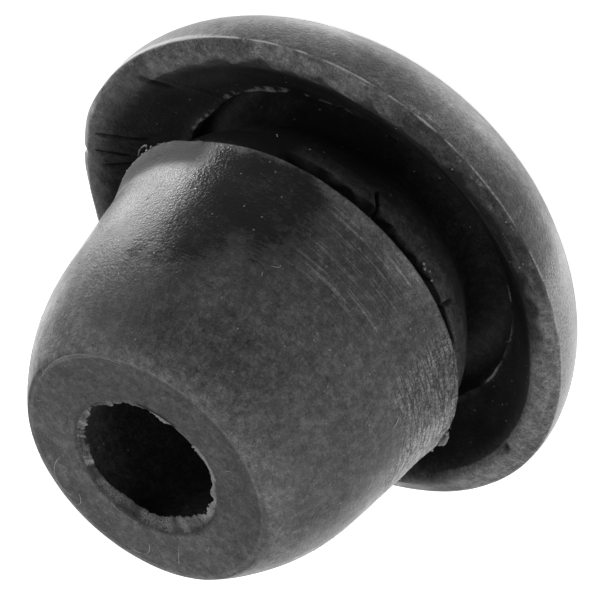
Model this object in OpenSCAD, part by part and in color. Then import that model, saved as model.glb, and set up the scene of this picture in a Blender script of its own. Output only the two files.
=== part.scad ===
// Rubber grommet with a domed mushroom head, moulded in one piece.
// It stands on its head: the crown is at z = 0 and the nose points up (+Z).
// All sizes are in millimetres.

/* [Head] */
// Largest diameter of the domed head
head_d = 24; // [23:0.5:26]
// Height of the dome, from the seat at its crown to its widest ring
dome_h = 5.9; // [5.5:0.1:6.3]
// Radius of the flat seat round the hole in the crown
seat_r = 4.3; // [4.1:0.1:4.8]
// Width of the sloping land that runs round the rim
land_w = 1; // [0.8:0.1:1.2]
// Rise of the land from the rim's crease to its inner edge
land_rise = 0.55; // [0.4:0.05:0.7]
// Height of the rim's crease above the widest ring
crease_rise = 0.35; // [0.2:0.05:0.5]

/* [Hollow under the head] */
// Radius of the ring where the sloping bowl ends
ring_r = 8.45; // [8.2:0.05:8.6]
// Depth of that ring below the crease of the rim
ring_depth = 1.65; // [1.4:0.05:1.9]
// Depth of the undercut groove below the ring
groove_depth = 1.1; // [0.8:0.1:1.4]

/* [Neck] */
// Radius of the straight neck that a panel's hole sits on
neck_r = 7.9; // [7.6:0.1:8]
// Length of the straight part of the neck
neck_len = 1.8; // [1.4:0.1:2]
// Radius of the neck at the bottom of the undercut
neck_root_r = 6.3; // [6:0.1:6.8]

/* [Body] */
// Height from the crease of the rim up to the nose face
body_h = 13.9; // [13.5:0.1:14.5]
// Radius of the sharp lip at the foot of the body
lip_r = 8.7; // [8.6:0.05:8.9]
// Height of the lip's edge above the crease of the rim
lip_rise = 2.95; // [2.8:0.05:3.1]
// Radius of the body where its rounded shoulder ends
shoulder_r = 8.05; // [7.9:0.05:8.2]
// Radius of the flat face at the nose
nose_r = 5.95; // [5.7:0.05:6.2]
// Slope of the shoulder where it meets the nose face, in degrees from the axis
nose_slope = 38; // [34:1:42]
// Draft of the body above the lip, in degrees from the axis
draft = 6; // [4:0.5:7]

/* [Bore] */
// Diameter of the hole that runs from the nose to the crown
bore_d = 7; // [6.4:0.1:7.2]
// How far the torn web at the nose reaches into the hole
web_w = 0.25; // [0.15:0.05:0.35]
// Thickness of the torn web at the wall of the hole
web_t = 0.2; // [0.15:0.05:0.3]
// How far the web's torn edge is sunk below the nose face
web_drop = 0.25; // [0.15:0.05:0.35]
// Number of notches torn out of the web's edge
notch_count = 17; // [9:1:25]

/* [Damage] */
// Depth of the tear behind the lip
tear_depth = 0.9; // [0.5:0.1:1.2]
// Height of the open mouth of the tear, below the lip
tear_gap = 1.1; // [0.9:0.05:1.2]
// Width of the split that runs from the tear down the neck
split_w = 0.2; // [0.1:0.05:0.3]
// How much the flat spot takes off the head's radius
flat_depth = 0.2; // [0.1:0.05:0.3]
// Radius of the nick at the end of the flat spot
nick_r = 0.3; // [0.2:0.05:0.4]
// Width of the radial cracks in the hollow of the head
crack_w = 0.1; // [0.06:0.02:0.14]
// Depth of those cracks
crack_depth = 0.15; // [0.1:0.05:0.2]

/* [Hidden] */
rubber = [0.13, 0.13, 0.135];
arc_steps = 20;
overlap = 0.2;

// The dome is half of an ellipse whose tip is cut off level by the seat
head_r = head_d / 2;
seat_share = sqrt(1 - pow(seat_r / head_r, 2));
dome_axis = dome_h / seat_share;
bore_r = bore_d / 2;

// Heights of the main rings above the crown
belly_z = dome_h;
crease_z = belly_z + crease_rise;
land_z = crease_z + land_rise;
ring_z = crease_z - ring_depth;
lip_z = crease_z + lip_rise;
nose_z = crease_z + body_h;

// Radii worked out from the ones above
crease_r = head_r * sqrt(1 - pow(crease_rise / dome_axis, 2));
land_r = crease_r - land_w;

// The shoulder is a round arc, from the nose's slope to the body's draft
shoulder_arc_r = (shoulder_r - nose_r) / (cos(draft) - cos(nose_slope));
shoulder_z = nose_z - shoulder_arc_r * (sin(nose_slope) - sin(draft));
shoulder_centre = [shoulder_r - shoulder_arc_r * cos(draft), shoulder_z - shoulder_arc_r * sin(draft)];

// Lip: a short flare leaves the drafted body, and its underside runs back to the neck
flare_h = 2.4;
flare_r = shoulder_r + (shoulder_z - lip_z - flare_h) * tan(draft);
lip_under = 0.12;

// Where the damage lies, in degrees about the axis from +X
tear_from = -135;
tear_to = -61;
split_at = -90;
flat_at = 40;
nick_at = 26.5;
cracks_at = [17, 22, 26];

// Points of a round arc about a centre, from angle a to angle b
function arc(centre, r, a, b) =
    [for (i = [0 : arc_steps]) centre + r * [cos(a + (b - a) * i / arc_steps), sin(a + (b - a) * i / arc_steps)]];

// Outside of the dome, from the seat up to the crease of the rim
function dome_points() =
    let (a = -acos(seat_r / head_r), b = asin(crease_rise / dome_axis))
    [for (i = [0 : arc_steps])
        let (t = a + (b - a) * i / arc_steps)
        [head_r * cos(t), belly_z + dome_axis * sin(t)]];

// A smooth curve between two points, drawn out towards a third
function bend(p, pull, q) =
    [for (i = [0 : arc_steps])
        let (t = i / arc_steps)
        pow(1 - t, 2) * p + 2 * t * (1 - t) * pull + pow(t, 2) * q];

// Underside of the head: the land, its rounded inner edge, and the hollow bowl down to the ring
function bowl_points() =
    concat(
        bend([land_r + 0.3, land_z - 0.16], [land_r, land_z + 0.02], [land_r - 0.3, land_z - 0.22]),
        bend([land_r - 0.35, land_z - 0.27], [ring_r + 1, ring_z + 0.75], [ring_r, ring_z]));

// The undercut groove and the neck, up to the straight part that a panel sits on
function neck_points() =
    let (floor_z = ring_z - groove_depth, floor_r = (ring_r + neck_root_r) / 2)
    concat(
        bend([ring_r - 0.1, ring_z - 0.1], [ring_r - 0.2, floor_z], [floor_r, floor_z]),
        bend([floor_r - 0.1, floor_z], [neck_root_r, floor_z], [neck_root_r, ring_z + 0.2]),
        bend([neck_root_r, ring_z + 0.4], [neck_r - 0.2, lip_z - neck_len - 0.6], [neck_r, lip_z - neck_len]));

// The flare above the lip, as a hollow curve into the drafted body
function flare_points() =
    bend([lip_r, lip_z], [flare_r + 0.08, lip_z + 0.45 * flare_h], [flare_r, lip_z + flare_h]);

// Half section of the whole moulding
module section() {
    polygon(concat(
        [[bore_r, 0]],
        dome_points(),
        bowl_points(),
        neck_points(),
        [[neck_r, lip_z - lip_under]],
        flare_points(),
        arc(shoulder_centre, shoulder_arc_r, draft, nose_slope),
        [[bore_r, nose_z]]));
}

// Remains of the web that closed the hole's mouth when it was moulded: a thin sunken ring, torn out in notches
module torn_web() {
    edge_r = bore_r - web_w;
    edge_z = nose_z - web_drop;
    difference() {
        rotate_extrude($fn = 96)
            polygon([
                [bore_r + overlap, nose_z - web_t],
                [bore_r, nose_z],
                [edge_r, edge_z],
                [edge_r, edge_z - web_t / 3],
                [bore_r, edge_z - web_t],
                [bore_r + overlap, edge_z - web_t]]);
        for (i = [0 : notch_count - 1])
            rotate([0, 0, 360 * i / notch_count + 8 * sin(97 * i)])
                translate([edge_r, 0, edge_z - web_t - overlap])
                    cylinder(r = web_w * (0.35 + 0.3 * abs(sin(53 * i))), h = web_drop + web_t + 2 * overlap, $fn = 24);
    }
}

// Tear that opens behind the lip along part of its round, as a pocket that narrows inwards
module tear() {
    top_z = lip_z - lip_under;
    rotate([0, 0, tear_from])
        rotate_extrude(angle = tear_to - tear_from, $fn = 96)
            polygon([
                [neck_r - tear_depth, top_z - 0.2 * tear_gap],
                [neck_r - 0.8 * tear_depth, top_z - 0.6 * tear_gap],
                [neck_r + overlap, top_z - tear_gap],
                [neck_r + overlap, top_z]]);
}

// Short split that runs from the tear down the neck
module split() {
    rotate([0, 0, split_at])
        translate([neck_r, 0, lip_z - neck_len])
            rotate([0, 0, 45])
                cube([split_w, split_w, neck_len], center = true);
}

// Flat spot worn into the widest part of the head
module flat_spot() {
    rotate([0, 0, flat_at])
        translate([head_r - flat_depth, -head_r, 0])
            cube([head_r, head_d, land_z]);
}

// Narrow cracks that run in from the rim down the slope of the hollow
module bowl_cracks() {
    slope = atan2(land_z - ring_z, land_r - ring_r);
    for (at = cracks_at)
        rotate([0, 0, at])
            translate([land_r, 0, land_z - crack_depth])
                rotate([0, -slope, 0])
                    translate([-1.6, 0, 0])
                        cube([2.4, crack_w, 2 * crack_depth], center = true);
}

// Nick in the rim's crease at the end of the flat spot
module nick() {
    rotate([0, 0, nick_at])
        translate([head_r, 0, crease_z + nick_r / 3])
            sphere(r = nick_r, $fn = 32);
}

module grommet() {
    color(rubber)
        difference() {
            union() {
                rotate_extrude($fn = 96) section();
                torn_web();
            }
            tear();
            split();
            bowl_cracks();
            flat_spot();
            nick();
        }
}

grommet();
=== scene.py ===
"""Looks of the rubber grommet: one moulding of black rubber with its tears, wear, lint and crumbs."""
import math

import bmesh
import bpy
import numpy as np
from mathutils import Matrix, Vector


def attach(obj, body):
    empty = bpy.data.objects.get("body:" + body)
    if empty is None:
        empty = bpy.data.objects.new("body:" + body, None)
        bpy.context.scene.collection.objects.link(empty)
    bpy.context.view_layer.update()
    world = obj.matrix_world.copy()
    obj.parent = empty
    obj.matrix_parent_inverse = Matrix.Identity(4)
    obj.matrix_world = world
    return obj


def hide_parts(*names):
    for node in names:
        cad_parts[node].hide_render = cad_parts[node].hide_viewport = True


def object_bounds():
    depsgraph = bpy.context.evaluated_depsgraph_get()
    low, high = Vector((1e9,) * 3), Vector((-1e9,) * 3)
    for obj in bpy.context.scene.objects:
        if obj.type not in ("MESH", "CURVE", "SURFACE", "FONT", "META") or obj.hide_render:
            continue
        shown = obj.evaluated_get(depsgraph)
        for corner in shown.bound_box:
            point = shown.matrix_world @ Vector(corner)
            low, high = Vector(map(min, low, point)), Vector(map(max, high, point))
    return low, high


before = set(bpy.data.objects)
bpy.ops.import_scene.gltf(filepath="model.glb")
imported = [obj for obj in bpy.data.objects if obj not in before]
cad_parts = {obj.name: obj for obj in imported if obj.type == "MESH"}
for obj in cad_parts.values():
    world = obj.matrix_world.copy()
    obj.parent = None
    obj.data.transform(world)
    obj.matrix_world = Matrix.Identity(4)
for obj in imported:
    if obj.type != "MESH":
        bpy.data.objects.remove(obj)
cad_low, cad_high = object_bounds()
MM = 0.001

# ---- sizes of the moulding, in millimetres
# Head. The belly is its widest ring, and the crease is the edge of its rim.
HEAD_R = (cad_high.y - cad_low.y) / 2 / MM
SEAT_R = 4.3
BELLY_Z = 5.9
CREASE_Z = 6.25
LAND_W = 1.0
LAND_Z = 6.8
# Hollow under the head
RING_R = 8.45
RING_Z = 4.6
GROOVE_DEPTH = 1.1
# Neck
ROOT_R = 6.3
NECK_R = 7.9
NECK_LEN = 1.8
# Lip and body
LIP_R = 8.7
LIP_Z = 9.2
LIP_UNDER = 0.12
FLARE_H = 2.4
SHOULDER_R = 8.05
NOSE_R = 5.95
NOSE_Z = cad_high.z / MM
# Slopes of the body, in degrees from the axis
NOSE_SLOPE = 38
DRAFT = 6
# Hole, and the torn web in its mouth
BORE_R = 3.5
BORE_TOP = 1.2
WEB_THICK = 0.16
# Rounding of sharp edges
EDGE = 0.06

# The head sits a little to the +X side of the nose: how far, and the height that the lean is spread over
LEAN = 0.25
LEAN_SPAN = 13.9

# Points round the axis
COLUMNS = 512

# ---- places of the damage
# Turns are in degrees about the axis, from -Y towards -X: 90 is the -X side and -90 the +X side.
# Cracks in the hollow: turn at the inner end, drift in degrees per mm, first and last mm past the land's edge
CRACKS = [(-107.2, 0.9, 0.1, 2.0), (-113.8, 0.1, 0.2, 1.5), (-117.0, 0.4, 0.7, 1.9)]
# Flat spot on the head, how far from the axis it is, and the nick at its end
FLAT_TURN = -130
FLAT_REACH = 12.12
NICK_TURN = -116.5
# Tear behind the lip. The skin's rows lie close together up to TEAR_ROWS below the lip.
TEAR_TURNS = (-30, 50)
TEAR_DEPTH = 1.3
TEAR_GAP = 1.12
TEAR_ROWS = 0.85
# Splits down the neck: turn, drift in degrees per mm, depth, how far below the lip they end
SPLITS = [(1, -5.5, 0.45, 2.0), (38, 2.0, 0.3, 1.5)]
# Cracks along the lip: mm above it, width, depth
LIP_CRACKS = [(0.42, 0.05, 0.030), (0.85, 0.045, 0.024), (1.25, 0.05, 0.018), (1.6, 0.05, 0.012)]
# Lobes of the torn web in the mouth: turn of the middle, spread in degrees, reach into the hole, depth
WEB_LOBES = [
    (160, 26, 0.36, 0.16),
    (118, 28, 0.56, 0.14),
    (70, 24, 0.40, 0.08),
    (-16, 6, 0.40, 0.14),
    (-160, 42, 0.24, 0.12),
    (-112, 22, 0.26, 0.08),
    (-58, 25, 0.25, 0.08),
    (30, 13, 0.08, 0.03),
]


# ---- small helpers
def smooth(t):
    """0 below 0, 1 above 1, and a soft step between."""
    t = np.clip(t, 0, 1)
    return t * t * (3 - 2 * t)


def wrapped(turn):
    """The same turn, between -180 and 180 degrees."""
    return (turn + 180) % 360 - 180


def hump(value, spread):
    """1 where the value is 0, falling to 0 on both sides like a bell."""
    return np.exp(-((value / spread) ** 2))


def over_run(run, start, end, fade):
    """1 from start to end of a run in millimetres, fading to 0 over `fade` past either."""
    return smooth((run - start) / fade + 1) * smooth((end - run) / fade + 1)


def add_object(name, data):
    made = bpy.data.objects.new(name, data)
    bpy.context.scene.collection.objects.link(made)
    return made


def smooth_mesh(name, places, faces):
    """A smooth-shaded mesh on places in millimetres."""
    mesh = bpy.data.meshes.new(name)
    mesh.from_pydata((np.array(places) * MM).tolist(), [], faces)
    mesh.polygons.foreach_set("use_smooth", [True] * len(mesh.polygons))
    return mesh


def bend(start, pull, end, count):
    """A smooth curve from start to end, drawn out towards pull. The end point is left out."""
    t = np.arange(count)[:, None] / count
    return (1 - t) ** 2 * np.array(start) + 2 * t * (1 - t) * np.array(pull) + t**2 * np.array(end)


def line(start, end, count):
    """A straight line. The end point is left out."""
    t = np.arange(count)[:, None] / count
    return (1 - t) * np.array(start) + t * np.array(end)


# ---- half section
def section():
    """The half section as a closed loop of stretches: a name, and rows of (radius, height)."""
    # The dome is half of an ellipse whose tip the seat cuts off. Its points lie closer towards the crease.
    dome_axis = BELLY_Z / math.sqrt(1 - (SEAT_R / HEAD_R) ** 2)
    crease_t = math.asin((CREASE_Z - EDGE - BELLY_Z) / dome_axis)
    seat_t = -math.acos(SEAT_R / HEAD_R)
    t = crease_t + (seat_t - crease_t) * np.linspace(1, 0, 33)[:-1] ** 1.7
    dome = np.stack([HEAD_R * np.cos(t), BELLY_Z + dome_axis * np.sin(t)], 1)

    # The shoulder is a round arc, from the body's draft to just short of the nose's slope
    draft, slope = math.radians(DRAFT), math.radians(NOSE_SLOPE)
    arc_r = (SHOULDER_R - NOSE_R) / (math.cos(draft) - math.cos(slope))
    shoulder_z = NOSE_Z - arc_r * (math.sin(slope) - math.sin(draft))
    centre = (SHOULDER_R - arc_r * math.cos(draft), shoulder_z - arc_r * math.sin(draft))
    a = np.linspace(draft, slope - math.radians(1.5), 22)[:-1]
    shoulder = np.stack([centre[0] + arc_r * np.cos(a), centre[1] + arc_r * np.sin(a)], 1)

    # Points where one stretch gives way to the next
    crease_r = HEAD_R * math.cos(crease_t)
    land_r = crease_r - LAND_W
    crease_end = (crease_r - 0.1, CREASE_Z + 0.05)
    land_end = (land_r + 0.3, LAND_Z - 0.16)
    bowl_top = (land_r - 0.35, LAND_Z - 0.27)
    ring_top = (RING_R + 0.08, RING_Z + 0.04)
    ring_foot = (RING_R - 0.04, RING_Z - 0.12)
    groove_z = RING_Z - GROOVE_DEPTH
    groove_floor = ((RING_R + ROOT_R) / 2, groove_z)
    root_top = (ROOT_R, RING_Z + 0.3)
    collar_foot = (NECK_R, LIP_Z - NECK_LEN)
    collar_middle = (NECK_R, LIP_Z - TEAR_ROWS)
    collar_top = (NECK_R, LIP_Z - LIP_UNDER)
    lip_foot = (LIP_R - EDGE, LIP_Z - 0.02)
    lip_top = (LIP_R - 0.03, LIP_Z + EDGE)
    flare_r = SHOULDER_R + (shoulder_z - LIP_Z - FLARE_H) * math.tan(draft)
    flare_top = (flare_r, LIP_Z + FLARE_H)
    brow_foot = (NOSE_R + 0.10, NOSE_Z - 0.13)
    face_edge = (NOSE_R - 0.25, NOSE_Z)
    mouth_edge = (BORE_R + EDGE, NOSE_Z)
    web_top = (BORE_R, NOSE_Z - EDGE)
    bore_foot = (BORE_R, 0.1)
    seat_edge = (BORE_R + 0.1, 0)
    return [
        ("seat", line(seat_edge, (SEAT_R, 0), 2)),
        ("dome", dome),
        ("crease", bend((crease_r, CREASE_Z - EDGE), (crease_r, CREASE_Z), crease_end, 4)),
        ("land", line(crease_end, land_end, 7)),
        ("land_edge", bend(land_end, (land_r, LAND_Z + 0.02), bowl_top, 7)),
        ("bowl", bend(bowl_top, (RING_R + 1, RING_Z + 0.75), ring_top, 16)),
        ("ring", line(ring_top, ring_foot, 4)),
        ("groove", bend(ring_foot, (RING_R - 0.2, groove_z), groove_floor, 4)),
        ("root", bend(groove_floor, (ROOT_R, groove_z), root_top, 5)),
        ("neck", bend(root_top, (NECK_R - 0.2, LIP_Z - NECK_LEN - 0.6), collar_foot, 8)),
        ("collar", line(collar_foot, collar_middle, 13)),
        ("collar", line(collar_middle, collar_top, 2)),
        ("under", line(collar_top, lip_foot, 3)),
        ("lip", bend(lip_foot, (LIP_R, LIP_Z), lip_top, 2)),
        ("flare", bend(lip_top, (flare_r + 0.08, LIP_Z + 0.45 * FLARE_H), flare_top, 20)),
        ("draft", line(flare_top, (SHOULDER_R, shoulder_z), 12)),
        ("shoulder", shoulder),
        ("brow", bend(brow_foot, (NOSE_R, NOSE_Z), face_edge, 4)),
        ("face", line(face_edge, mouth_edge, 11)),
        ("mouth", bend(mouth_edge, (BORE_R, NOSE_Z), web_top, 2)),
        ("web", line(web_top, web_top, 6)),
        ("web_under", line(web_top, (BORE_R, NOSE_Z - EDGE - WEB_THICK), 3)),
        ("bore", line((BORE_R, NOSE_Z - BORE_TOP), bore_foot, 5)),
        ("bore_end", bend(bore_foot, (BORE_R, 0), seat_edge, 2)),
    ]


# ---- the skin of the moulding
def column_turns():
    """Turns of the columns. They lie closer together on the -Y side and at the cracks of the hollow."""
    fine = np.linspace(-180, 180, 7201)
    density = 1 + 1.2 * np.cos(np.radians(fine / 2)) ** 2 + 5 * hump(fine - CRACKS[1][0], 6)
    share = np.concatenate([[0], np.cumsum(density[1:])])
    return np.interp(np.arange(COLUMNS) / COLUMNS, share / share[-1], fine)


class Skin:
    """A grid of points on the moulding: a row for each point of the half section, a column for each turn.

    Radius, height and along are in millimetres, and `along` is measured along the half section.
    Wear, with painted glints, is pale, from 0 to 1, and painted shade is black."""

    NOISE_ROWS = 89

    def __init__(self):
        stretches = section()
        rows = np.concatenate([points for _, points in stretches])
        steps = np.linalg.norm(np.diff(rows, axis=0), axis=1)
        self.names = np.concatenate([[name] * len(points) for name, points in stretches])
        self.turns = column_turns()
        self.run = np.concatenate([[0], np.cumsum(steps)])
        shape = (len(rows), COLUMNS)
        self.turn = np.broadcast_to(self.turns[None], shape)
        self.along = np.broadcast_to(self.run[:, None], shape)
        self.radius = np.repeat(rows[:, :1], COLUMNS, 1)
        self.height = np.repeat(rows[:, 1:], COLUMNS, 1)
        self.wear_and_glints = np.zeros(shape)
        self.painted_shade = np.zeros(shape)

    def part(self, *names):
        """1 on the rows of the named stretches, else 0."""
        return np.isin(self.names, names)[:, None].astype(float)

    def share(self, name):
        """How far each row of a stretch is along it, from 0 to 1, and 0 on other rows."""
        inside = self.names == name
        result = np.zeros(len(self.names))
        result[inside] = np.arange(inside.sum()) / inside.sum()
        return result[:, None]

    def start(self, name):
        return self.run[np.argmax(self.names == name)]

    def past(self, name):
        """Millimetres past the start of a stretch, along the half section."""
        return self.along - self.start(name)

    def away(self, at):
        """Degrees of turn away from `at`, between -180 and 180."""
        return wrapped(self.turn - at)

    def over(self, start, end, fade):
        """1 over the turns from start to end, fading to 0 over `fade` degrees past either."""
        half = (end - start) / 2
        return 1 - smooth((abs(self.away(start + half)) - half) / fade)

    def noise(self, cells, pitch, seed):
        """Smooth noise from -1 to 1, with `cells` cells round the axis and one each `pitch` mm along.

        A pitch of 30 mm or more hardly varies it along the section."""
        table = np.random.default_rng(seed).uniform(-1, 1, (cells, self.NOISE_ROWS))
        u = self.turn / 360 % 1 * cells
        v = self.along / pitch
        i, j = np.floor(u).astype(int), np.floor(v).astype(int)
        fu, fv = smooth(u - i), smooth(v - j)
        next_i, next_j = (i + 1) % cells, (j + 1) % self.NOISE_ROWS
        i, j = i % cells, j % self.NOISE_ROWS
        near = table[i, j] * (1 - fu) + table[next_i, j] * fu
        far = table[i, next_j] * (1 - fu) + table[next_i, next_j] * fu
        return near * (1 - fv) + far * fv

    def points(self):
        """Places of all points in millimetres, as rows x columns x 3."""
        turn = np.radians(self.turn)
        shift = LEAN * (np.clip((NOSE_Z - self.height) / LEAN_SPAN, 0, 1.15) - 0.5)
        x = -np.sin(turn) * self.radius + shift
        y = -np.cos(turn) * self.radius
        return np.stack([x, y, self.height], -1)

    def spot(self, name, past, turn, lift=0.0):
        """Place of the point `past` mm beyond the start of a stretch, at a turn, lifted off the skin."""
        row = np.interp(self.start(name) + past, self.run, np.arange(len(self.run)))
        column = np.interp(wrapped(turn), self.turns, np.arange(COLUMNS))
        i, j = min(int(row), len(self.run) - 2), min(int(column), COLUMNS - 2)
        corner = self.places[i : i + 2, j : j + 2]
        u, v = row - i, column - j
        near = corner[0, 0] * (1 - v) + corner[0, 1] * v
        far = corner[1, 0] * (1 - v) + corner[1, 1] * v
        out = np.cross(corner[1, 0] - corner[0, 0], corner[0, 1] - corner[0, 0])
        return near * (1 - u) + far * u + lift * out / np.linalg.norm(out)


# ---- shape, wear and damage, each in its place
def uneven_skin(skin):
    """Slight waviness that a soft moulding has all over."""
    outside = 1 - skin.part("bore", "bore_end", "seat", "mouth", "web", "web_under")
    waves = 0.030 * skin.noise(8, 6, 1) + 0.012 * skin.noise(30, 2.2, 2) + 0.004 * skin.noise(120, 0.5, 3)
    skin.radius += outside * waves


def out_of_round(skin):
    """The soft head is pressed a little out of round."""
    turn = np.radians(skin.turn)
    bulge = 0.10 - 0.08 * np.cos(turn) + 0.015 * np.cos(2 * turn) + 0.15 * np.cos(3 * turn)
    head = skin.part("dome", "crease", "land", "land_edge") + skin.part("bowl") * (1 - skin.share("bowl"))
    skin.radius += head * bulge * skin.radius / HEAD_R


def off_centre_ring(skin):
    """The ring at the foot of the bowl lies nearer the neck on the +X side."""
    drawn_in = 0.53 * skin.over(-105, -22, 45) + 0.18 * hump(skin.away(-85), 8)
    share = skin.share("bowl") ** 2 + skin.part("ring") + skin.part("groove") * (1 - skin.share("groove"))
    skin.radius -= drawn_in * share


def worn_rim(skin):
    """Flat spot, nick, and the pale edge of the rim, partly worn and partly a painted highlight."""
    rim = skin.part("dome", "crease", "land", "land_edge")
    reach = np.cos(np.radians(skin.away(FLAT_TURN)))
    flat = FLAT_REACH / np.maximum(reach, 0.5)
    cut = np.maximum(skin.radius - flat, 0) * (reach > 0.9)
    skin.radius -= rim * cut
    skin.radius += rim * 0.10 * hump(skin.away(-106), 7) * smooth((skin.radius - 10.5) / 1.2)
    gap = skin.past("crease")
    skin.radius -= 0.12 * hump(skin.away(NICK_TURN), 0.8) * hump(gap, 0.3)
    # A pale line runs along the edge, broad on the +X side, thin and broken in front: wear, and partly a
    # painted highlight
    broken = smooth(0.75 + 1.1 * skin.noise(150, 3, 11))
    faded = 0.75 - 0.35 * smooth((skin.turn + 20) / 40)
    broad = skin.over(-112, -66, 14) * over_run(gap, -0.16, 0.04, 0.05)
    thin = skin.over(-70, 58, 14) * over_run(gap, -0.03, 0.03, 0.04) * broken * faded
    skin.wear_and_glints += 0.95 * broad + thin
    # Rubbed edge beside the nick with a painted highlight on it, painted light on the dome's -X side, and
    # scuffs in front
    edge = skin.over(-124, -103, 4) * over_run(gap, -0.35, 0.3, 0.12)
    edge = edge * (0.75 + 0.35 * skin.noise(160, 0.3, 13))
    skin.wear_and_glints += edge + 0.45 * skin.part("dome") * skin.over(42, 100, 12)
    scuffs = skin.over(-44, -4, 8) * hump(gap + 0.25, 0.22) * np.clip(skin.noise(90, 0.22, 12), 0, 1)
    skin.wear_and_glints += 0.5 * scuffs


def softened_edge(skin):
    """On the +X side the land runs into the hollow without an edge, and in front its edge is worn soft."""
    low, high = skin.start("land") + 0.25, skin.start("bowl") + 1.1
    t = np.clip((skin.along - low) / (high - low), 0, 1)
    inside = (t > 0) & (t < 1)
    first = np.argmax(inside[:, 0])
    last = len(inside) - 1 - np.argmax(inside[::-1, 0])
    share = np.maximum(0.6 * skin.over(-140, -80, 18), 0.45 * skin.over(-70, 40, 20)) * inside
    for values in (skin.radius, skin.height):
        straight = values[first] * (1 - t) + values[last] * t
        values += share * (straight - values)


def land_marks(skin):
    """Uneven inner edge of the land, with pale patches on it, a ridge across it with a painted highlight, and
    a pit with painted shade in it.
    """
    edge = skin.part("land_edge")
    ragged = 0.5 + 1.3 * skin.over(-80, 40, 20)
    wobble = 0.05 * skin.noise(26, 40, 21) + 0.04 * skin.noise(80, 40, 22)
    skin.radius += edge * ragged * wobble
    skin.height += edge * ragged * 0.6 * wobble
    rough = 0.3 + 1.5 * skin.over(-75, 45, 20)
    skin.height += skin.part("land", "land_edge") * rough * 0.026 * skin.noise(110, 0.4, 23)
    patch = skin.over(-42, -20, 7) * smooth(0.55 + 1.4 * skin.noise(70, 0.5, 24))
    blobs = skin.over(-22, 80, 12) * smooth((skin.noise(120, 0.35, 25) - 0.3) / 0.5)
    skin.wear_and_glints += skin.part("land") * (0.14 * patch + 0.30 * blobs)
    # A slanting ridge, with a groove beside it. The pale streak on the ridge is partly wear and partly a
    # painted highlight.
    middle = skin.start("land") + 0.5
    streak = skin.away(-67) - 5 * (skin.along - middle)
    reach = hump(skin.along - middle, 0.42)
    skin.height += reach * (0.06 * hump(streak, 1.0) - 0.09 * hump(streak - 2.2, 0.8))
    skin.wear_and_glints += 0.3 * reach * hump(streak, 0.8)
    # A pit on the -X side, with painted shade in it
    pit = hump(skin.away(92), 1.3) * hump(skin.past("land_edge") - 0.42, 0.22)
    skin.height -= 0.15 * pit
    skin.painted_shade += pit


def hollow_marks(skin):
    """Cracks, wrinkles, and a raised line beside a fold, on the slope of the hollow, with painted shade in
    the cracks and the fold.
    """
    slope = skin.part("land_edge", "bowl")
    down = skin.past("land_edge")
    for turn, drift, first, last in CRACKS:
        wander = 0.2 * np.sin(3 * down + turn) - drift * (last - down)
        crack = hump(skin.away(turn) - wander, 0.24) * over_run(down, first, last, 0.25)
        skin.height -= slope * 0.11 * crack
        skin.painted_shade += slope * 0.8 * crack
    wrinkles = skin.over(-128, -103, 4) * over_run(down, 0.4, 2.0, 0.4)
    skin.height += slope * wrinkles * 0.03 * skin.noise(300, 0.7, 31)
    ridge = slope * over_run(down, 0.8, 3.0, 0.5) * hump(skin.away(-80.5 + 0.9 * down), 0.8)
    fold = slope * over_run(down, 0.3, 1.5, 0.4) * hump(skin.away(-83.5 + 1.5 * down), 1.0)
    skin.height += 0.06 * ridge - 0.09 * fold
    skin.wear_and_glints += 0.08 * ridge
    skin.painted_shade += 0.8 * fold


def worn_ring(skin):
    """The ring at the foot of the bowl, with its edge pale in pieces: rubbed, and partly a painted glint."""
    past = skin.past("ring")
    ragged = smooth(0.75 + 0.9 * skin.noise(150, 3, 33))
    skin.height += hump(past, 0.12) * 0.12 * ragged
    skin.radius += skin.part("bowl", "ring") * hump(past, 0.12) * 0.05 * skin.noise(60, 3, 34)
    rubbed = skin.over(-73, -47, 3) * (0.6 + 0.4 * skin.noise(90, 3, 35))
    grainy = np.clip(0.55 + 0.9 * skin.noise(200, 0.14, 36), 0, 1.3)
    broken = smooth(0.5 + 1.3 * skin.noise(70, 3, 37))
    shown = skin.over(-97, -26, 3) * (0.8 - 0.3 * rubbed) * grainy + 0.8 * broken * skin.over(52, 92, 6)
    line_start = -0.05 - 0.12 * rubbed - 0.05 * skin.over(-100, -78, 5)
    skin.wear_and_glints += over_run(past, line_start, 0.04, 0.06) * shown * ragged


def torn_neck(skin):
    """The tear behind the lip, and the splits that run from it down the neck, with painted shade in both."""
    collar = skin.part("collar", "under")
    below_lip = LIP_Z - skin.height
    along_tear = skin.over(*TEAR_TURNS, 5)
    gap = TEAR_GAP - 0.12 * smooth((skin.turn + 8) / 30)
    gap += 0.05 * skin.noise(34, 50, 41) + 0.015 * skin.noise(110, 50, 42)
    opened = smooth((gap - below_lip) / 0.09) * (skin.names[:, None] == "collar")
    skin.radius -= TEAR_DEPTH * along_tear * opened
    rolled = hump(below_lip - gap - 0.15, 0.2) * skin.part("collar")
    skin.radius += 0.05 * along_tear * rolled
    # The splits and the tear's walls are painted black as painted shade.
    for turn, drift, depth, low in SPLITS:
        at = skin.away(turn) - drift * (below_lip - TEAR_GAP)
        cut = hump(at, 0.55) * over_run(below_lip, 0.3, low, 0.25)
        skin.radius -= collar * depth * cut
        skin.painted_shade += collar * 0.8 * cut
    skin.painted_shade += collar * along_tear * smooth((gap + 0.04 - below_lip) / 0.05)
    skin.radius += collar * 0.02 * skin.noise(90, 0.3, 43)


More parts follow.
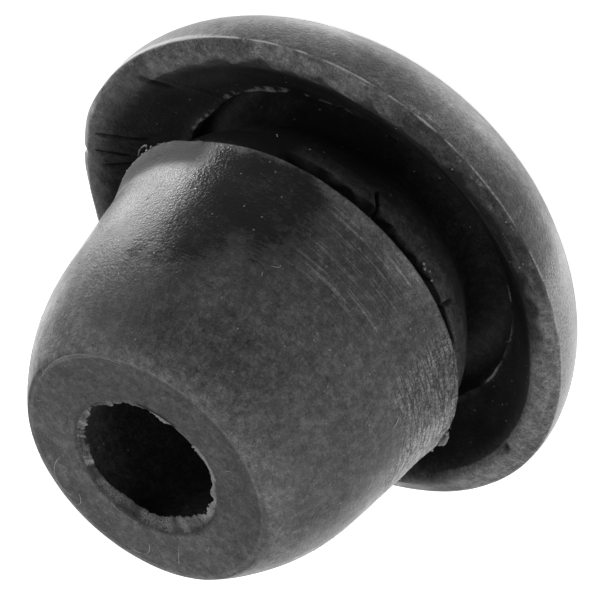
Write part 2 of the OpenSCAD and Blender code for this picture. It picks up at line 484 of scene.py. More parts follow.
def worn_lip(skin):
    """Ragged edge of the lip, drawn out on the +X side, with a pale worn band, a band of painted shade on the
    +X side, and its cracks.
    """
    edge = hump(skin.past("lip"), 0.22)
    ragged = 0.3 + skin.over(-112, -58, 10)
    skin.radius += edge * ragged * (0.035 * skin.noise(130, 30, 51) + 0.02 * skin.noise(260, 30, 52))
    skin.radius += edge * 0.03 * skin.noise(16, 30, 53)
    above = skin.past("flare")
    band = skin.part("lip", "flare")
    drawn_out = skin.share("under") + band * hump(np.maximum(above, 0), 0.9)
    skin.radius += 0.27 * drawn_out * skin.over(-90, -74, 20)
    skin.wear_and_glints += band * 0.05 * skin.over(-75, 10, 12) * over_run(above, 0, 0.45, 0.35)
    # A band of painted shade along the lip on the +X side
    uneven = above + 0.25 * skin.noise(60, 0.4, 56)
    skin.painted_shade += band * 0.9 * skin.over(-115, -57, 11) * over_run(uneven, 0, 0.75, 1.1)
    # Cracks that follow the lip on the -X side
    cracked = skin.over(48, 105, 12)
    for at, width, depth in LIP_CRACKS:
        wander = 0.07 * skin.noise(30, 50, 60 + round(10 * at))
        skin.radius -= band * cracked * depth * hump(above - at - wander, width)
    creases = over_run(above, 0.1, 2.2, 0.5)
    skin.radius += band * cracked * creases * 0.010 * skin.noise(170, 0.25, 55)


def torn_mouth(skin):
    """Remains of the web that closed the mouth: a ragged ledge, broadest towards -X and +Y."""
    reach, depth = 0.05, 0.03
    for turn, spread, wide, deep in WEB_LOBES:
        lobe = hump(skin.away(turn), spread)
        reach = reach + wide * lobe
        depth = depth + deep * lobe
    ticks = 0.5 * skin.noise(75, 50, 71) + 0.5 * skin.noise(170, 50, 72)
    calm = 1 - 0.6 * skin.over(110, 215, 20)
    chips = 1 + calm * (0.5 * skin.noise(38, 50, 73) + 0.45 * ticks)
    reach = np.maximum(reach * chips, 0.02)
    # Top of the ledge, with a groove along the wall of the hole, and its underside
    shallow = 1 - 0.5 * skin.over(15, 60, 10)
    t = skin.share("web")
    ledge = skin.part("web")
    groove = 0.05 * np.sin(np.pi * np.clip(t * 3, 0, 1))
    skin.radius -= ledge * reach * smooth(t * 1.1) ** 0.8
    skin.height -= ledge * (depth * t + groove + 0.05 * np.abs(ticks) * np.sin(np.pi * t)) * shallow
    t = skin.share("web_under")
    below = skin.part("web_under")
    skin.radius -= below * reach * (1 - t) ** 2
    skin.height -= below * (depth * shallow + 0.25 * t)
    # Outline of the mouth
    brim = hump(skin.past("mouth"), 0.5) * (1 - skin.part("web", "web_under", "bore"))
    skin.radius += brim * (0.03 * skin.noise(22, 50, 74) + 0.018 * skin.noise(90, 50, 75))
    torn_mouth_tones(skin, ledge, ticks)


def torn_mouth_tones(skin, ledge, ticks):
    """Pale torn rubber on the ledge in the mouth, painted shade in its notches and on its +Y side, and the
    lines at its edges: pale ones, and painted shade along the mouth on the -Y side.
    """
    torn = 0.46 * skin.over(44, 90, 10) + 0.45 * skin.over(-22, -9, 3)
    streaked = 1 + 0.3 * skin.noise(64, 50, 77)
    plain = 0.10 - 0.09 * skin.over(128, 315, 15)
    skin.wear_and_glints += ledge * (plain + torn * streaked) * smooth(skin.share("web") * 2)
    skin.wear_and_glints += ledge * (0.2 + 0.5 * skin.over(-150, -30, 15)) * np.clip(ticks - 0.15, 0, 1)
    skin.painted_shade += ledge * skin.over(-175, -70, 12) * np.clip(-2 * ticks - 0.2, 0, 0.8)
    skin.painted_shade += 0.35 * ledge * skin.over(128, 235, 15) * smooth(0.5 + skin.noise(70, 0.12, 78))
    edge = hump(skin.past("mouth"), 0.05)
    skin.wear_and_glints += 0.8 * edge * skin.over(16, 42, 4)
    skin.painted_shade += (skin.part("mouth") + edge) * skin.over(-32, -6, 4)
    rim_line = skin.over(120, 260, 15) * hump(skin.past("web"), 0.05)
    skin.wear_and_glints += 0.35 * rim_line * smooth(0.4 + skin.noise(40, 50, 76))


# ---- masks for the material, from 0 to 1
def polish_and_shade_of(skin):
    """Where the body is rubbed smooth and dark near the lip on the +X side, but not on the lip itself; its
    dark tone is partly painted shade.
    """
    above = skin.height - LIP_Z + 0.5 * skin.noise(14, 30, 81) + 0.15 * skin.noise(60, 1, 82)
    body = skin.part("flare", "draft", "shoulder", "lip")
    spread = 0.5 + 0.4 * skin.over(-120, -46, 12)
    matt_lip = skin.over(-120, 22, 12) * (1 - smooth((above - 0.12) / spread))
    reach = 2.9 + 2.2 * skin.over(-52, -37, 14)
    rubbed = skin.over(-150, -22, 22) * (1 - smooth((above - reach) / 4.6))
    return body * rubbed * (1 - 0.85 * matt_lip)


def scratched_of(skin):
    """Where scratches round the axis are deepest: near the lip on the -Y side, and a little all over."""
    above = skin.height - LIP_Z
    body = skin.part("flare", "draft", "shoulder", "brow")
    near_lip = skin.over(-8, 20, 7) * over_run(above, 0.5, 4.0, 0.8)
    return 0.05 + body * (0.05 + 0.75 * near_lip)


def cracked_of(skin):
    """Where the skin has cracked like old leather: near the lip on the -X side."""
    above = skin.height - LIP_Z
    body = skin.part("lip", "flare", "draft", "shoulder")
    reach = 3.2 + 1.2 * skin.over(76, 110, 12)
    return body * skin.over(46, 108, 12) * over_run(above, 0.1, reach, 1.6)


def dust_and_painted_light_of(skin):
    """Where pale dust clings, and where painted light lightens the rubber: the dome, the land, the face and
    brow, and parts of the body.
    """
    # Painted sheen: the dome grows lighter below its belly, towards the seat.
    crown = smooth((BELLY_Z + 0.2 - skin.height) / 2.4) * skin.part("dome", "seat")
    # Dust and painted light: the dome is lighter on its +X and -X sides, and a little on its -Y side.
    dome = 0.35 * skin.over(-100, -58, 15) + 0.4 * skin.over(48, 110, 15) + 0.12 * skin.over(-15, 5, 15)
    land = 0.55 * skin.over(-75, -15, 12) + 0.9 * skin.over(48, 108, 12)
    land += 0.9 * skin.over(-42, -20, 7) * smooth(0.5 + 1.4 * skin.noise(70, 0.5, 24))
    land += 0.5 * skin.over(-130, -95, 15) * (1 - smooth((skin.past("land") - 0.3) / 0.5))
    brow = 0.35 * smooth((skin.height - NOSE_Z + 1.6) / 1.2) * skin.part("shoulder", "brow")
    brow += 0.4 * skin.part("brow") * skin.over(-75, 45, 20)
    # Painted light: the face is lighter towards its +Y side.
    face = 0.24 + 0.12 * skin.over(130, 235, 50)
    # Painted light: near the nose the body is lighter on its +X and -X sides.
    sides = 0.35 * skin.over(-120, -70, 20) + 0.15 * skin.over(75, 120, 12)
    body = skin.part("shoulder", "draft") * smooth((skin.height - NOSE_Z + 6) / 2.5) * sides
    body += 0.12 * skin.part("shoulder", "draft", "flare") * skin.over(-20, 78, 10)
    # Bands along the lip, and the patch of old leather
    above = skin.past("flare")
    body += 0.35 * skin.part("flare") * skin.over(-4, 20, 10) * over_run(above, 0.2, 0.8, 0.5)
    body += 0.3 * skin.part("lip", "flare") * skin.over(-75, 22, 12) * over_run(above, 0, 0.3, 0.3)
    body += 0.45 * skin.part("flare", "draft") * skin.over(70, 108, 7) * over_run(above, 0.4, 3.2, 1.2)
    outer = skin.part("dome") * dome + skin.part("crease", "land", "land_edge") * land
    return crown + outer + brow + skin.part("face") * face + body


def painted_shade_of(skin):
    """Painted shade: black painted where shade falls in the hollow, the neck and the hole.

    It is weaker on the land's inner edge, round the middle of the dome and on the face, where it is painted
    shade too."""
    down = skin.past("land_edge")
    lit_side = 0.85 - 0.15 * skin.over(-140, -95, 8) + 0.15 * skin.noise(50, 0.8, 91)
    hollow = skin.part("bowl") * smooth((down - 0.2) / 1.2) * lit_side
    open_side = 0.85 - 0.3 * skin.over(10, 135, 25) - 0.25 * skin.over(-120, -62, 15)
    neck = skin.part("ring", "groove", "root", "neck") * open_side
    hidden_side = skin.over(-180, -34, 14)
    below_tear = smooth((LIP_Z - skin.height - 0.9) / 0.9)
    collar = skin.part("collar", "under") * np.maximum(below_tear, hidden_side)
    collar = collar * np.maximum(0.9 * open_side, hidden_side)
    hole = 0.3 * skin.part("bore", "bore_end", "web_under")
    face = 0.14 * skin.part("face") * skin.over(-60, 60, 40)
    dome = 0.45 * skin.part("dome") * skin.over(-38, 30, 15) * hump(skin.height - 4.9, 0.75)
    deepest = 0.08 - 0.18 * skin.over(-75, -8, 10)
    bitten = smooth((down + deepest + 0.42 * skin.noise(90, 2.5, 95)) / 0.3) * skin.over(-62, 50, 12)
    land = 0.7 * skin.part("land", "land_edge") * bitten
    return np.clip(hollow + neck + collar + hole + face + dome + land, 0, 1)


# ---- the grommet
SHAPES = [
    uneven_skin, out_of_round, off_centre_ring, worn_rim, softened_edge, land_marks,
    hollow_marks, worn_ring, torn_neck, worn_lip, torn_mouth,
]
# Kinds of rubber: name, strength of its reflections, glow of fine dust at grazing angles
RUBBERS = [("black_rubber", 0.3, 0.0), ("matt_rubber", 0.1, 0.0), ("hazy_rubber", 0.3, 0.8)]
BLACK, MATT_AND_SHADED, HAZY = range(3)
# Stretches of black rubber. The dome is hazy, and the rest is matt rubber, whose weaker reflections keep the
# hollow, neck and hole dark as painted shade.
BLACK_STRETCHES = ("seat", "crease", "lip", "flare", "draft", "shoulder", "brow", "mouth", "web")


def add_layer(mesh, name, values, kind="FLOAT", field="value"):
    layer = mesh.attributes.new(name, kind, "POINT")
    layer.data.foreach_set(field, values.ravel())


def build_grommet():
    skin = Skin()
    for shape in SHAPES:
        shape(skin)
    skin.places = skin.points()
    count = len(skin.names)
    i = np.arange(count)[:, None]
    j = np.arange(COLUMNS)[None]
    near, far = i * COLUMNS, (i + 1) % count * COLUMNS
    after = (j + 1) % COLUMNS
    quads = np.stack([near + j, far + j, far + after, near + after], -1).reshape(-1, 4)
    mesh = smooth_mesh("grommet_rubber", skin.places.reshape(-1, 3), quads.tolist())
    kinds = np.where(np.isin(skin.names, BLACK_STRETCHES), BLACK, MATT_AND_SHADED)
    kinds[skin.names == "dome"] = HAZY
    mesh.polygons.foreach_set("material_index", np.repeat(kinds, COLUMNS))
    add_layer(mesh, "wear_and_glints", np.clip(skin.wear_and_glints, 0, 1))
    add_layer(mesh, "dust_and_painted_light", np.clip(dust_and_painted_light_of(skin), 0, 1))
    add_layer(mesh, "scratched", scratched_of(skin))
    add_layer(mesh, "cracked", cracked_of(skin))
    add_layer(mesh, "painted_shade", np.clip(skin.painted_shade + painted_shade_of(skin), 0, 1))
    add_layer(mesh, "polish_and_shade", polish_and_shade_of(skin))
    # Grain runs round the axis and along the section
    turn = np.radians(skin.turn)
    add_layer(mesh, "grain", np.stack([np.cos(turn), np.sin(turn), skin.along], -1), "FLOAT_VECTOR", "vector")
    for name, shine, haze in RUBBERS:
        mesh.materials.append(Rubber(name, shine, haze).owner)
    mesh.update()
    return add_object("grommet_rubber", mesh), skin


# ---- lint, crumbs and torn bits
# Fibres lie on the skin from a start through a pull to an end, each (mm past the stretch's start, turn)
LINT = [
    # stretch, start, pull, end, width, rise at the end
    ("face", (0.97, -141), (0.35, -146), (0.15, -151), 0.026, 0.02),
    ("face", (0.15, -151), (-0.1, -157), (0.22, -163), 0.026, 0.02),
    ("face", (-0.05, -92), (-0.42, -68), (0.05, -40), 0.016, 0),
    ("face", (0.05, -168), (0.45, -171), (0.8, -164), 0.026, 0.05),
    ("face", (2.08, 182), (1.95, 177), (2.07, 171), 0.022, 0.02),
    ("face", (2.05, 168), (1.95, 164), (2.13, 159), 0.022, 0.02),
    ("face", (0.35, 161), (0.1, 158), (0.37, 155), 0.026, 0.05),
    ("face", (1.05, 151), (0.5, 150), (0.35, 154), 0.022, 0.03),
    ("face", (1.5, 130), (0.95, 133), (0.55, 134), 0.022, 0.03),
    ("draft", (1.6, 52), (1.75, 53.5), (1.98, 54), 0.03, 0),
    ("draft", (2.35, -12), (2.2, -9), (2.05, -10), 0.025, 0),
    ("shoulder", (1.9, -118), (2.3, -116), (2.7, -119), 0.03, 0),
    ("shoulder", (2.6, -128), (2.9, -131), (2.8, -135), 0.03, 0.1),
    ("under", (0.8, 84), (0.4, 80), (0.1, 78), 0.03, 0.45),
    ("under", (0.8, 82), (0.5, 81), (0.2, 83), 0.03, 0.6),
    ("under", (0.78, 98), (0.45, 103), (0.25, 106), 0.03, 0.5),
    ("under", (0.8, 97), (0.6, 99), (0.35, 100), 0.025, 0.5),
    ("under", (0.82, 88), (0.55, 90), (0.4, 86), 0.025, 0.35),
    ("under", (0.8, 91), (0.65, 94), (0.45, 93), 0.03, 0.4),
    ("groove", (-0.35, 69), (-0.05, 73), (0.25, 76), 0.022, 0.1),
    ("collar", (-0.2, -41), (-0.1, -40), (0.05, -39.5), 0.03, 0.02),
    ("collar", (1.25, 31.5), (1.35, 33), (1.2, 34.5), 0.04, 0.12),
]
# Crumbs on each stretch: mm past its start, turn, size
CRUMBS = [
    ("collar", [(0.7, 22.5, 0.12), (0.74, 24, 0.16), (0.66, 25.6, 0.12), (0.76, 28.4, 0.14)]),
    ("bowl", [(2.6, -108, 0.1), (2.9, -106.5, 0.08)]),
    ("land", [(0.62, 6.5, 0.09), (0.35, 32, 0.1), (0.66, 32.6, 0.07)]),
    ("bowl", [(0.55, 65, 0.08), (2.35, 90, 0.08), (2, 102, 0.07), (0.6, 88, 0.07)]),
    ("draft", [(3.6, 12, 0.07)]),
    ("shoulder", [(1, 37, 0.06)]),
    ("bore", [(0.25, 118, 0.09)]),
    ("under", [
        (0.82, 82.8, 0.24), (0.84, 84.8, 0.38), (0.8, 87.2, 0.36), (0.6, 86, 0.38), (0.82, 89.3, 0.2),
        (0.8, 93.8, 0.12), (0.78, -83, 0.1), (0.8, -80, 0.12), (0.8, -77.5, 0.09), (0.8, -74, 0.11),
        (0.8, -71.5, 0.08), (0.8, -97, 0.1), (0.8, -93, 0.09),
    ]),
    ("mouth", [
        (0.05, 14, 0.11), (0.08, 17, 0.14), (0.1, -20, 0.16), (0.08, -15, 0.13), (0.12, -11, 0.12),
        (0.1, -25, 0.11),
    ]),
    ("web", [(0.15, 50, 0.12)]),
]
# A curled strand torn from the lip: (turn, radius, height)
STRAND = [(-85, 8.96, 9.16), (-84.5, 9.06, 9.02), (-83, 9.12, 8.90), (-81.3, 9.08, 8.88), (-81, 9.00, 9.0)]
STRAND_WIDTH = 0.085
# Scattered fibres: stretch, mm of it that they start in, how many
SHORT_LINT = [("draft", 4.0, 14), ("shoulder", 4.0, 12), ("face", 2.2, 8), ("dome", 9.0, 20)]
LINT_STEPS = 6
# Radius that turns a fibre's way round the rubber into degrees
MEAN_R = 8
# Scattered crumbs
SPRINKLED = 110
SPRINKLED_ON = ("draft", "shoulder", "shoulder", "land", "dome")


class Heap:
    """Small closed bits that are gathered into one mesh."""

    def __init__(self):
        self.points = []
        self.faces = []

    def add(self, points, faces):
        base = len(self.points)
        self.points.extend(points)
        self.faces += [tuple(base + corner for corner in face) for face in faces]

    def tube(self, path, width, sides=6):
        """A thread along a path, thinner at its ends."""
        path = np.array(path)
        way = np.gradient(path, axis=0)
        way /= np.linalg.norm(way, axis=1)[:, None]
        # The vector is any direction that no thread runs along
        across = np.cross(way, (0.31, 0.17, 0.94))
        across /= np.linalg.norm(across, axis=1)[:, None]
        beside = np.cross(way, across)
        count = len(path)
        thick = width / 2 * (0.55 + 0.45 * np.sin(np.pi * (np.arange(count) + 0.5) / count))
        a = 2 * np.pi * np.arange(sides)[:, None] / sides
        out = np.cos(a) * across[:, None] + np.sin(a) * beside[:, None]
        points = (path[:, None] + thick[:, None, None] * out).reshape(-1, 3)
        faces = [tuple(range(sides))[::-1], tuple(range((count - 1) * sides, count * sides))]
        for i in range(count - 1):
            near, far = i * sides, (i + 1) * sides
            for j in range(sides):
                k = (j + 1) % sides
                faces.append((near + j, near + k, far + k, far + j))
        self.add(points, faces)

    def lump(self, centre, size, rng):
        """A rough crumb."""
        ball = bmesh.new()
        bmesh.ops.create_icosphere(ball, subdivisions=2, radius=size / 2)
        squash = rng.uniform(0.6, 1.2, 3)
        points = [np.array(v.co) * squash * rng.uniform(0.75, 1.25) + centre for v in ball.verts]
        faces = [[v.index for v in face.verts] for face in ball.faces]
        ball.free()
        self.add(points, faces)

    def piece(self, name, material):
        mesh = smooth_mesh(name, self.points, self.faces)
        mesh.materials.append(material)
        made = add_object(name, mesh)
        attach(made, "root")


def build_lint(skin):
    """Fibres seen on the rubber, and a thin scatter of shorter ones all over."""
    heap = Heap()
    for stretch, start, pull, end, width, rise in LINT:
        route = np.concatenate([bend(start, pull, end, 10), [end]])
        lifts = width / 2 + rise * np.linspace(0, 1, len(route)) ** 2
        heap.tube([skin.spot(stretch, past, turn, lift) for (past, turn), lift in zip(route, lifts)], width)
    rng = np.random.default_rng(5)
    for stretch, longest, count in SHORT_LINT:
        for _ in range(count):
            past, turn = rng.uniform(0.2, longest), rng.uniform(-175, 175)
            heading, length, curl = rng.uniform(0, 2 * math.pi), rng.uniform(0.1, 0.34), rng.uniform(-3, 3)
            width = rng.uniform(0.012, 0.02)
            step = length / LINT_STEPS
            path = []
            for _ in range(LINT_STEPS + 1):
                path.append(skin.spot(stretch, past, turn, width / 2))
                past += math.sin(heading) * step
                turn += math.degrees(math.cos(heading) * step / MEAN_R)
                heading += curl * step
            heap.tube(path, width, 4)
    heap.piece("lint", pale_material("lint", 0.55))


def build_crumbs(skin):
    """Crumbs seen on the rubber, a row of them along the web, and a fine scatter all over."""
    heap = Heap()
    rng = np.random.default_rng(9)
    for stretch, crumbs in CRUMBS:
        for past, turn, size in crumbs:
            heap.lump(skin.spot(stretch, past, turn, 0.2 * size), size, rng)
    for turn in np.arange(-132, -30, 4.5):
        size = rng.uniform(0.07, 0.15)
        heap.lump(skin.spot("web", rng.uniform(0, 0.15), turn + rng.uniform(-2, 2), 0.2 * size), size, rng)
    for _ in range(SPRINKLED):
        stretch = SPRINKLED_ON[rng.integers(len(SPRINKLED_ON))]
        size = rng.uniform(0.025, 0.065)
        heap.lump(skin.spot(stretch, rng.uniform(0.1, 3.5), rng.uniform(-175, 175), 0.3 * size), size, rng)
    heap.piece("crumbs", pale_material("crumbs", 0.30))


def build_strand():
    """The curled strand beside the lip."""
    heap = Heap()
    fine = np.linspace(0, len(STRAND) - 1, 22)
    turn, radius, height = (np.interp(fine, range(len(STRAND)), values) for values in zip(*STRAND))
    turn = np.radians(turn)
    path = np.stack([-np.sin(turn) * radius + LEAN * 0.3, -np.cos(turn) * radius, height], -1)
    for _ in range(3):
        path[1:-1] = (path[:-2] + 2 * path[1:-1] + path[2:]) / 4
    heap.tube(path, STRAND_WIDTH, 8)
    heap.piece("torn_strand", pale_material("torn_rubber", 0.16))


# ---- materials
class Nodes:
    """Short calls for the nodes of one material or world, its owner."""

    def __init__(self, owner):
        owner.use_nodes = True
        self.owner = owner
        self.tree = owner.node_tree

    def fill(self, node, inputs):
        """Set a node's sockets to plain values, or link them to other nodes' outputs."""
        for socket, value in inputs.items():
            if isinstance(value, bpy.types.NodeSocket):
                self.tree.links.new(value, node.inputs[socket])
            else:
                node.inputs[socket].default_value = value

    def node(self, kind, inputs, **settings):
        made = self.tree.nodes.new(kind)
        for key, value in settings.items():
            setattr(made, key, value)
        self.fill(made, inputs)
        return made.outputs

    def math(self, operation, a, b):
        return self.node("ShaderNodeMath", {0: a, 1: b}, operation=operation)[0]

    def plus(self, a, b):
        return self.math("ADD", a, b)

    def minus(self, a, b):
        return self.math("SUBTRACT", a, b)

    def times(self, first, *others):
        for other in others:
            first = self.math("MULTIPLY", first, other)
        return first

    def mix(self, share, a, b):
        return self.node("ShaderNodeMix", {0: share, 2: a, 3: b}, data_type="FLOAT")[0]

    def mask(self, name):
        return self.node("ShaderNodeAttribute", {}, attribute_name=name)["Fac"]

    def scaled(self, vector, factor):
        return self.node("ShaderNodeVectorMath", {0: vector, 1: factor}, operation="MULTIPLY")[0]

    def place_mm(self):
        """Place on the piece, in millimetres."""
        return self.scaled(self.node("ShaderNodeTexCoord", {})["Object"], (1000, 1000, 1000))

    def noise(self, vector, scale, detail=2.0, roughness=0.5):
        inputs = {"Vector": vector, "Scale": scale, "Detail": detail, "Roughness": roughness}
        return self.node("ShaderNodeTexNoise", inputs)["Fac"]

    def cells(self, vector, scale, **settings):
        return self.node("ShaderNodeTexVoronoi", {"Vector": vector, "Scale": scale}, **settings)

    def step(self, value, low, high, to_low=0.0, to_high=1.0):
        """Smooth step from to_low at `low` to to_high at `high`."""
        inputs = {"Value": value, "From Min": low, "From Max": high, "To Min": to_low, "To Max": to_high}
        return self.node("ShaderNodeMapRange", inputs, interpolation_type="SMOOTHSTEP")["Result"]

    def vary(self, texture, low, high):
        """A noise texture stretched to run from low to high."""
        return self.step(texture, 0.3, 0.7, low, high)

    def bump(self, inputs):
        return self.node("ShaderNodeBump", {"Distance": BUMP_DEPTH, **inputs})["Normal"]

    def paint(self, tone, inputs):
        """Give the shader a grey tone and other inputs."""
        grey = self.node("ShaderNodeCombineColor", {0: tone, 1: tone, 2: tone})[0]
        self.fill(self.tree.nodes["Principled BSDF"], {"Base Color": grey, **inputs})


# How light each surface is, painted shade included, and how much lighter thick dust and painted light make
# the thin dust
DUST_LEVELS = (0.056, 0.081)
CLEAN_AND_SHADED_LEVEL = 0.003
PAINTED_SHADE_LEVEL = 0.010
WEAR_AND_GLINT_LEVEL = 0.42
SPECK_LEVEL = 0.3
DUST_AND_PAINTED_LIGHT_GAIN = 3.0
MATT_ROUGHNESS = 0.50
RUBBED_ROUGHNESS = 0.20
WORN_ROUGHNESS = 0.75
BUMP_DEPTH = 0.04 * MM


class Rubber(Nodes):
    """Black rubber: dusty and matt where untouched, darker and smoother where rubbed, pale where worn, with
    painted shade, painted light and painted glints in its colour.
    """

    def __init__(self, name, shine, haze):
        super().__init__(bpy.data.materials.new(name))
        self.place = self.place_mm()
        self.grain = self.node("ShaderNodeAttribute", {}, attribute_name="grain")["Vector"]
        self.wear_and_glints, self.painted_shade, self.cracked = self.mask("wear_and_glints"), self.mask("painted_shade"), self.mask("cracked")
        self.mottle = self.noise(self.place, 0.9, 3)
        self.fine = self.noise(self.place, 7.0, 3, 0.6)
        self.grit = self.noise(self.place, 15.0, 2, 0.6)
        self.streaks = self.noise(self.scaled(self.grain, (14, 14, 9)), 1.0, 3, 0.6)
        self.scratches = self.noise(self.scaled(self.grain, (2.6, 2.6, 9)), 1.0, 2, 0.6)
        rubbed, crack = self.rubbed(), self.crack()
        self.paint(self.tone(rubbed, crack), {
            "Roughness": self.roughness(rubbed),
            "Normal": self.relief(rubbed, crack),
            "Specular IOR Level": shine,
            "Sheen Weight": haze,
            "Sheen Roughness": 0.3,
        })

    def rubbed(self):
        """Where the rubber is rubbed clean and smooth, its dark tone partly painted shade, with a patchy and
        streaky edge.
        """
        patches = self.plus(self.vary(self.mottle, -0.2, 0.2), self.vary(self.streaks, -0.15, 0.15))
        patches = self.plus(patches, self.vary(self.fine, -0.2, 0.2))
        return self.step(self.plus(self.mask("polish_and_shade"), patches), -0.08, 1.1)

    def crack(self):
        """Fine cracks that run round the axis, between long cells."""
        cells = self.cells(self.scaled(self.grain, (5.0, 5.0, 4.2)), 1.0, feature="DISTANCE_TO_EDGE")
        crack = self.times(self.step(cells["Distance"], 0.02, 0.13, 1.0, 0.0), self.cracked)
        return self.times(crack, self.step(self.fine, 0.35, 0.6, 0.25, 1.0))

    def dust(self, crack):
        """Thin dust: mottled and streaky, pale in scratches and in old leather, with painted shade in pits
        and cracks.
        """
        scratches = self.times(self.step(self.scratches, 0.50, 0.66, -0.25, 1.0), self.mask("scratched"))
        blots = self.noise(self.place, 2.6, 4, 0.65)
        shaded_pits = self.step(self.noise(self.place, 3.4, 2, 0.7), 0.60, 0.70)
        grains = self.step(self.noise(self.place, 11.0, 2, 0.6), 0.35, 0.65, -0.5, 0.7)
        return self.times(
            self.vary(self.mottle, *DUST_LEVELS),
            self.vary(self.fine, 0.74, 1.28),
            self.vary(self.streaks, 0.88, 1.12),
            self.plus(scratches, 1.0),
            self.step(self.grit, 0.32, 0.68, 0.74, 1.32),
            self.step(blots, 0.38, 0.74, 0.84, 1.6),
            self.minus(1.0, self.times(shaded_pits, 0.4)),
            self.plus(self.times(self.cracked, 0.55), 1.0),
            self.minus(1.0, self.times(crack, 0.65)),
            self.plus(self.times(grains, self.cracked), 1.0),
        )

    def specks(self):
        """Specks of dust: small round dots."""
        cells = self.cells(self.place, 2.1)
        dots = self.step(cells["Distance"], 0.07, 0.13, 1.0, 0.0)
        chosen = self.node("ShaderNodeSeparateColor", {0: cells["Color"]})[0]
        return self.times(dots, self.step(chosen, 0.5, 0.95))

    def tone(self, rubbed, crack):
        """From dust to clean rubber, then painted shade, pale crusty wear with painted glints, and specks on
        top; painted light lightens the dust, and the clean rubber's dark tone is partly painted shade.
        """
        thin = self.dust(crack)
        # Thick dust and painted light make the thin dust lighter.
        dust = self.mix(self.mask("dust_and_painted_light"), thin, self.times(thin, DUST_AND_PAINTED_LIGHT_GAIN))
        # Clean rubber: its dark tone is partly painted shade near the lip.
        clean_and_shaded = self.times(self.step(self.fine, 0.25, 0.75, 0.5, 1.5), CLEAN_AND_SHADED_LEVEL)
        tone = self.mix(self.painted_shade, self.mix(rubbed, dust, clean_and_shaded), PAINTED_SHADE_LEVEL)
        crust = self.plus(self.wear_and_glints, self.vary(self.noise(self.place, 11.0, 3, 0.7), -0.22, 0.22))
        pale_wear_and_glints = self.times(self.step(crust, 0.0, 0.9), self.step(self.wear_and_glints, 0.02, 0.2))
        tone = self.mix(pale_wear_and_glints, tone, WEAR_AND_GLINT_LEVEL)
        return self.mix(self.times(self.specks(), 0.8), tone, SPECK_LEVEL)

    def roughness(self, rubbed):
        level = self.mix(rubbed, MATT_ROUGHNESS, RUBBED_ROUGHNESS)
        level = self.plus(level, self.vary(self.fine, -0.06, 0.06))
        level = self.plus(level, self.vary(self.grit, -0.05, 0.05))
        return self.mix(self.math("MAXIMUM", self.wear_and_glints, self.painted_shade), level, WORN_ROUGHNESS)

    def relief(self, rubbed, crack):
        """Pebbled skin, then scratches and cracks that run round the axis."""
        pebbled = self.plus(self.noise(self.place, 8.0, 1.5, 0.6), self.times(self.grit, 0.35))
        pebbles = self.bump({"Height": pebbled, "Strength": self.mix(rubbed, 0.8, 0.64)})
        scored = self.minus(self.times(self.scratches, self.mask("scratched")), crack)
        return self.bump({"Height": scored, "Strength": 1.0, "Normal": pebbles})


def pale_material(name, level):
    """Dusty grey of lint, crumbs and freshly torn rubber, uneven from bit to bit."""
    n = Nodes(bpy.data.materials.new(name))
    n.paint(n.vary(n.noise(n.place_mm(), 2.5, 2), 0.6 * level, 1.3 * level), {"Roughness": 0.8})
    return n.owner


# ---- stage and lamps
FLOOR_WHITE = (0.8, 0.8, 0.8, 1)
FLOOR_GLOW = 0.88
WORLD_LEVEL = 0.05
# In metres
FLOOR_HALF = 1.5
BOX_DISTANCE = 0.5
BOX_SIZE = (0.24, 0.2)
BOX_AIM = (0, 0, 0.01)
CARD_LIFT = 0.0004
# Large lamps round the grommet: name, bearing from +X and rise in degrees, level
SOFTBOXES = [
    ("right_box", 0, 11, 3.6),
    ("left_box", 180, 11, 4.4),
    ("front_box", 225, 11, 3.4),
    ("back_box", 90, 38, 2.6),
    ("low_back_box", 90, 11, 2.5),
    ("top_box", 240, 66, 2.0),
    ("top_box_2", 0, 66, 1.0),
    ("high_right_box", 0, 38, 1.2),
    ("high_left_box", 180, 38, 1.0),
]
# Bright cards on the floor: name, bearing in degrees, mm from the axis, size in mm, level
FLOOR_CARDS = [
    ("bright_card", 20, 27, 15, 3.8),
    ("bright_card_2", 8, 30, 12, 5.2),
    ("bright_card_3", 7, 26, 8, 38.0),
    ("left_card", 145, 25, 12, 2.4),
    ("back_card", 90, 42, 48, 1.8),
    ("back_card_2", 62, 30, 14, 3.4),
    ("back_card_3", 110, 24, 12, 5.0),
    ("shoulder_card", 54, 49, 24, 5.0),
    ("shoulder_card_2", 126, 49, 24, 3.5),
]
FLOOR_CARDS += [("front_card_%d" % bearing, bearing, 14.5, 7, 2.6) for bearing in (180, 225, 270, 315)]


def stage_material():
    """White to the camera, and plain white paint to every other ray."""
    n = Nodes(bpy.data.materials.new("white_floor"))
    n.tree.nodes.remove(n.tree.nodes["Principled BSDF"])
    paint = n.node("ShaderNodeBsdfDiffuse", {"Color": FLOOR_WHITE})[0]
    glow = n.node("ShaderNodeEmission", {"Strength": FLOOR_GLOW})[0]
    both = n.node("ShaderNodeAddShader", {0: paint, 1: glow})[0]
    seen = n.node("ShaderNodeLightPath", {})["Is Camera Ray"]
    mix = n.node("ShaderNodeMixShader", {0: seen, 1: paint, 2: both})[0]
    n.fill(n.tree.nodes["Material Output"], {"Surface": mix})
    return n.owner


def build_floor():
    corners = [(x * FLOOR_HALF, y * FLOOR_HALF, 0) for x, y in ((-1, -1), (1, -1), (1, 1), (-1, 1))]
    mesh = bpy.data.meshes.new("floor")
    mesh.from_pydata(corners, [], [(0, 1, 2, 3)])
    mesh.materials.append(stage_material())
    return add_object("floor", mesh)


def build_world():
    """White to the camera, and dim to every other ray."""
    n = Nodes(bpy.data.worlds.new("studio"))
    bpy.context.scene.world = n.owner
    seen = n.node("ShaderNodeLightPath", {})["Is Camera Ray"]
    level = n.node("ShaderNodeMapRange", {"Value": seen, "To Min": WORLD_LEVEL, "To Max": 1.0})["Result"]
    n.fill(n.tree.nodes["Background"], {"Color": (1, 1, 1, 1), "Strength": level})


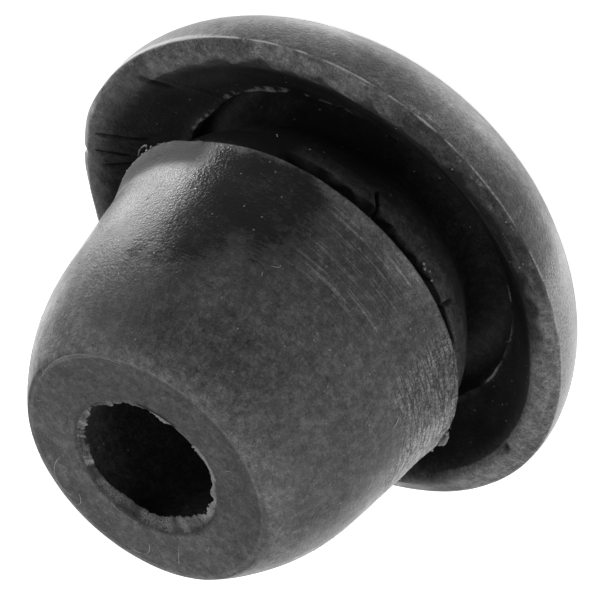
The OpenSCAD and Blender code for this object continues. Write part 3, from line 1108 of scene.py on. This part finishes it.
def area_lamp(name, place, aim, size, level):
    """A soft lamp whose face is `level` times as bright as white paper in plain light."""
    lamp = bpy.data.lights.new(name, "AREA")
    lamp.shape = "RECTANGLE"
    lamp.size, lamp.size_y = size
    lamp.energy = level * math.pi * size[0] * size[1]
    holder = add_object(name, lamp)
    holder.location = place
    holder.rotation_euler = (Vector(aim) - Vector(place)).to_track_quat("-Z", "Y").to_euler()
    holder.visible_camera = False


def build_lamps():
    for name, bearing, rise, level in SOFTBOXES:
        turn, rise = math.radians(bearing), math.radians(rise)
        across, up = BOX_DISTANCE * math.cos(rise), BOX_AIM[2] + BOX_DISTANCE * math.sin(rise)
        area_lamp(name, (across * math.cos(turn), across * math.sin(turn), up), BOX_AIM, BOX_SIZE, level)
    for name, bearing, out, size, level in FLOOR_CARDS:
        turn = math.radians(bearing)
        x, y = out * MM * math.cos(turn), out * MM * math.sin(turn)
        area_lamp(name, (x, y, CARD_LIFT), (x, y, 1), (size * MM, size * MM), level)


# ---- camera
# It looks at the grommet from above its -Y side, rolled so that the nose points down to the left
VIEW_TILT = math.radians(54.17)
VIEW_ROLL = math.radians(47.7)
VIEW_DISTANCE = 0.375
LENS_MM = 540
SENSOR_MM = 36
# Middle of the picture, in millimetres from the middle of the nose face
AIM_RIGHT = 6.40
AIM_UP = 6.98


def build_camera():
    toward = Vector((0, -math.sin(VIEW_TILT), math.cos(VIEW_TILT)))
    head_way = Vector((0, -math.cos(VIEW_TILT), -math.sin(VIEW_TILT)))
    side = Vector((-1, 0, 0))
    right = math.cos(VIEW_ROLL) * head_way + math.sin(VIEW_ROLL) * side
    up = math.sin(VIEW_ROLL) * head_way - math.cos(VIEW_ROLL) * side
    nose = Vector((-LEAN / 2, 0, NOSE_Z)) * MM
    aim = nose + AIM_RIGHT * MM * right + AIM_UP * MM * up
    data = bpy.data.cameras.new("camera")
    data.lens = LENS_MM
    data.sensor_width = SENSOR_MM
    data.clip_start = 0.01
    data.clip_end = 20
    camera = add_object("camera", data)
    turn = Matrix((right, up, toward)).transposed().to_4x4()
    camera.matrix_world = Matrix.Translation(aim + toward * VIEW_DISTANCE) @ turn
    bpy.context.scene.camera = camera


# ---- the scene
grommet, skin = build_grommet()
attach(grommet, "root")
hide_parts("grommet")
build_lint(skin)
build_crumbs(skin)
build_strand()

build_floor()
build_world()
build_lamps()
build_camera()
bpy.context.scene.view_settings.view_transform = "Standard"
